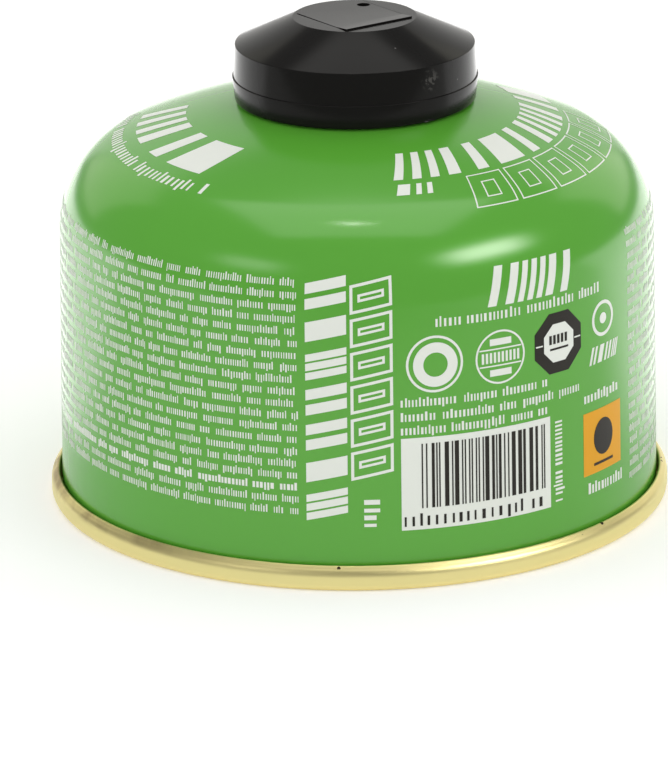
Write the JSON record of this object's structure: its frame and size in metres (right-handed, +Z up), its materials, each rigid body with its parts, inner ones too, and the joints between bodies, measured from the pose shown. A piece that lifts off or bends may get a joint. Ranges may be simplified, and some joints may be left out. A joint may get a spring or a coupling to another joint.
{
  "type": "fuel canister",
  "caption": "Squat domed steel fuel canister with a rolled seam at its foot, a self-sealing threaded valve and a black pull-off cap.",
  "frame": {"origin": "centre of the resting ring under the base, on the surface that the canister stands on", "axes": "+Z up along the can's axis through the valve, +Y away from the pictured side, +X to its right"},
  "size_m": [0.09, 0.09, 0.071],
  "materials": {
    "green_paint": "glossy green enamel on drawn steel",
    "gold_lacquer": "satin gold lacquer over tinplate",
    "tinplate": "bright tinplate with drawing marks",
    "rubber": "matt black rubber",
    "acetal": "ivory moulded acetal",
    "spring_steel": "bright spring wire",
    "black_plastic": "semi-gloss black polyethylene"
  },
  "bodies": {
    "can": {"can_body": "green_paint", "base_end": "gold_lacquer", "valve_cup": "tinplate", "cup_gasket": "rubber", "valve_seal": "rubber", "valve_housing": "acetal", "valve_spring": "spring_steel"},
    "cap": {"cap": "black_plastic"},
    "stem": {"valve_stem": "acetal"}
  },
  "joints": [
    {"name": "cap_lift", "type": "slide", "parent": "can", "child": "cap", "axis": [0, 0, 1], "range_m": [0, 0.03]},
    {"name": "stem_press", "type": "slide", "parent": "can", "child": "stem", "axis": [0, 0, -1], "range_m": [0, 0.0018], "stiffness_N_per_m": 1200, "springref_m": -0.0015, "deforming": ["valve_spring"]}
  ]
}
